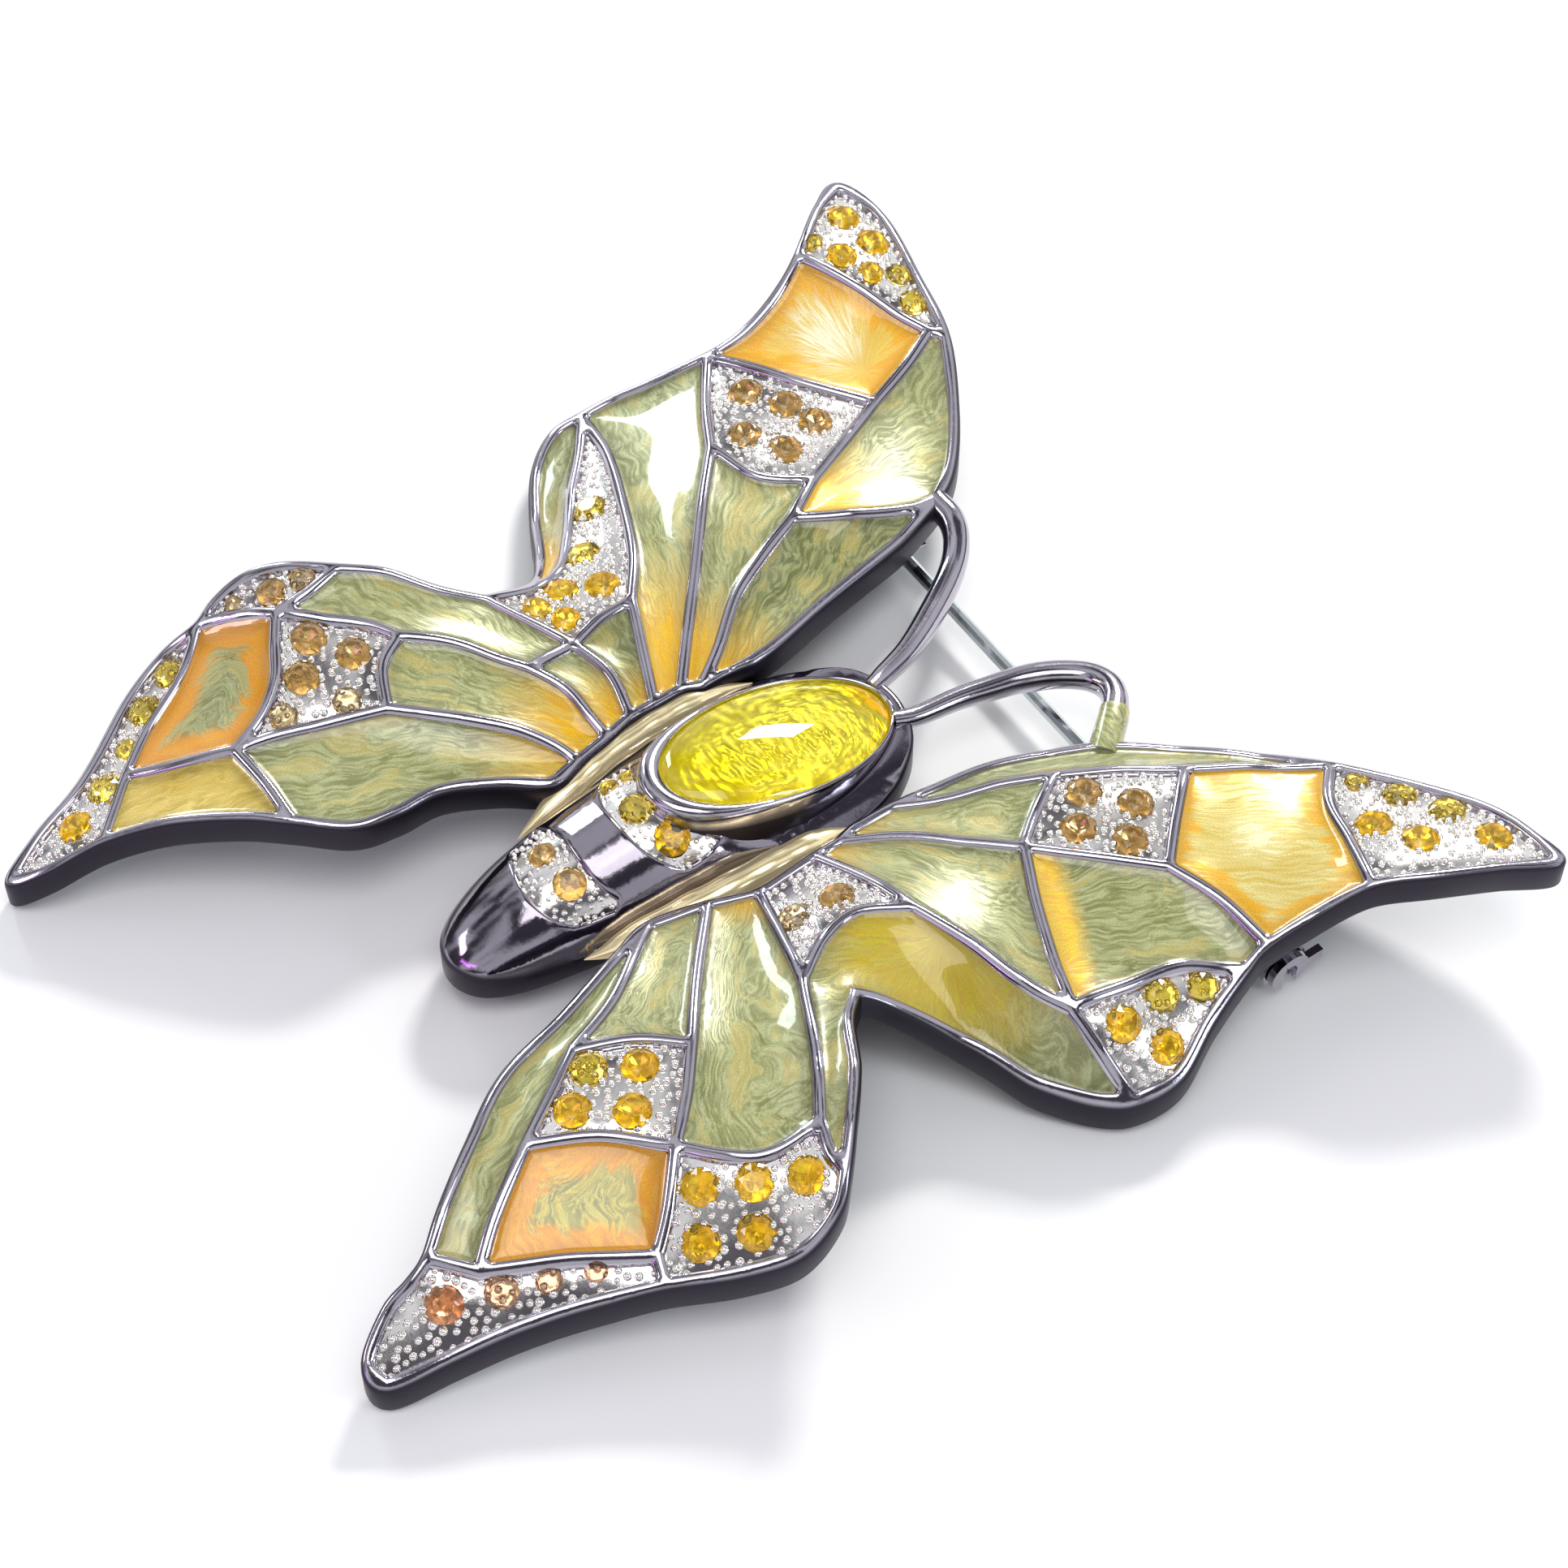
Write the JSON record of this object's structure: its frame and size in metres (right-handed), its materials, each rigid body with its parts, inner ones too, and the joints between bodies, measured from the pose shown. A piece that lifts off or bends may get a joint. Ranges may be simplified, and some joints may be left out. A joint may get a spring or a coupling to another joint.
{
  "type": "butterfly brooch",
  "caption": "Butterfly brooch: cast wings with enamelled and stone-set cells, foiled oval cabochon, antennae, and a pin with a safety catch.",
  "frame": {"origin": "centre of the bounding box in plan, at the plane that the wing tips and the catch rest on", "axes": "+Y towards the butterfly's head, +X across the wings, +Z out of the decorated face"},
  "size_m": [0.0709, 0.0757, 0.0105],
  "materials": {
    "gunmetal_plating": "polished dark rhodium plate",
    "pin_steel": "bright drawn wire",
    "green_enamel": "pearly swirled olive enamel, glossy",
    "gold_enamel": "pearly swirled golden enamel, glossy",
    "yellow_stones": "faceted amber-yellow glass",
    "smoky_stones": "faceted smoky brown glass",
    "rose_brown_stones": "faceted pinkish brown glass",
    "lemon_cabochon": "clear lemon-yellow glass, polished",
    "gold_foil": "crinkled gold foil"
  },
  "bodies": {
    "brooch": {"abdomen_stones": "smoky_stones", "body_casting": "gunmetal_plating", "cabochon": "lemon_cabochon", "cabochon_foil": "gold_foil", "catch_base": "gunmetal_plating", "hinge_rivet": "pin_steel", "left_antenna": "gunmetal_plating", "left_fold_enamel": "green_enamel", "left_fold_stones": "yellow_stones", "left_fore_edge_enamel": "green_enamel", "left_fore_fan_enamel": "green_enamel", "left_fore_front_enamel": "green_enamel", "left_fore_gold_enamel": "gold_enamel", "left_fore_mid_stones": "smoky_stones", "left_fore_ray_enamel": "green_enamel", "left_fore_tip_stones": "yellow_stones", "left_hind_back_enamel": "green_enamel", "left_hind_edge_enamel": "gold_enamel", "left_hind_low_enamel": "green_enamel", "left_hind_mid_stones": "smoky_stones", "left_hind_ray_enamel": "green_enamel", "left_hind_tear_enamel": "gold_enamel", "left_hind_tip_stones": "yellow_stones", "left_hind_top_stones": "smoky_stones", "left_hind_upper_enamel": "green_enamel", "left_root_enamel": "green_enamel", "left_wing_casting": "gunmetal_plating", "pin_bracket": "gunmetal_plating", "right_antenna": "gunmetal_plating", "right_fold_enamel": "green_enamel", "right_fore_back_enamel": "green_enamel", "right_fore_back_stones": "yellow_stones", "right_fore_edge_enamel": "green_enamel", "right_fore_fan_enamel": "green_enamel", "right_fore_front_enamel": "green_enamel", "right_fore_gold_enamel": "gold_enamel", "right_fore_mid_stones": "smoky_stones", "right_fore_tip_stones": "yellow_stones", "right_hind_corner_stones": "yellow_stones", "right_hind_mid_stones": "yellow_stones", "right_hind_orange_enamel": "gold_enamel", "right_hind_strip_enamel": "green_enamel", "right_hind_tail_enamel": "green_enamel", "right_hind_tip_stones": "rose_brown_stones", "right_hind_upper_enamel": "green_enamel", "right_root_stones": "smoky_stones", "right_wing_casting": "gunmetal_plating", "thorax_stones": "yellow_stones"},
    "pin": {"pin_stem": "pin_steel"},
    "roller": {"safety_roller": "gunmetal_plating"}
  },
  "joints": [
    {"name": "pin_hinge", "type": "hinge", "parent": "brooch", "child": "pin", "pos_m": [-0.0125, 0.0226, 0.00185], "axis": [0, 1, 0], "range_deg": [0, 100]},
    {"name": "roller_turn", "type": "hinge", "parent": "brooch", "child": "roller", "pos_m": [0.0272, 0.0226, 0.00185], "axis": [1, 0, 0], "range_deg": [0, 120]}
  ]
}
